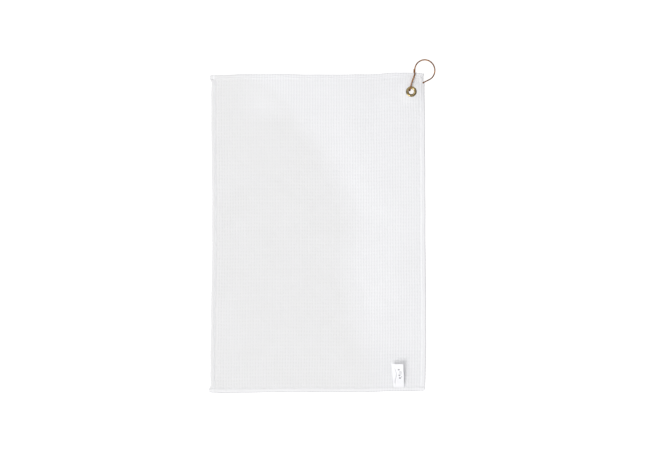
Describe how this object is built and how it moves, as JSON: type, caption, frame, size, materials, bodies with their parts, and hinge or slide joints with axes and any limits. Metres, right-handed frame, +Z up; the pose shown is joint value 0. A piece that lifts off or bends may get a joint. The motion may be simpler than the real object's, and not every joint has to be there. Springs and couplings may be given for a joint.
{
  "type": "golf towel",
  "caption": "Rectangular waffle-weave golf towel with stitched hems, a corner grommet, a swinging wire hook and a sewn care label.",
  "frame": {"origin": "middle of the towel's flat underside", "axes": "+X along the top and bottom hems towards the grommet's side, +Y along the towel's length towards the grommet's end, +Z up out of the face that shows the label"},
  "size_m": [0.4275, 0.6391, 0.0115],
  "materials": {
    "waffle_cloth": "matte",
    "sewing_thread": "satin",
    "polished_brass": "polished",
    "bronzed_wire": "satin",
    "satin_ribbon": "satin"
  },
  "bodies": {
    "towel": {"towel_cloth": "waffle_cloth", "needle_thread_top": "sewing_thread", "needle_thread_bottom": "sewing_thread", "needle_thread_left": "sewing_thread", "needle_thread_right": "sewing_thread", "bobbin_thread_top": "sewing_thread", "bobbin_thread_bottom": "sewing_thread", "bobbin_thread_left": "sewing_thread", "bobbin_thread_right": "sewing_thread", "grommet_eyelet": "polished_brass", "grommet_washer": "polished_brass"},
    "hook": {"wire_hook": "bronzed_wire"},
    "label": {"care_label": "satin_ribbon"}
  },
  "joints": [
    {"name": "hook_swing", "type": "hinge", "parent": "towel", "child": "hook", "pos_m": [0.17529, 0.27176, 0.00515], "axis": [0, 0, 1], "range_deg": [-5, 35]},
    {"name": "label_flip", "type": "hinge", "parent": "towel", "child": "label", "pos_m": [0.1542, -0.29552, 0.00325], "axis": [1, 0, 0], "range_deg": [0, 172]}
  ]
}
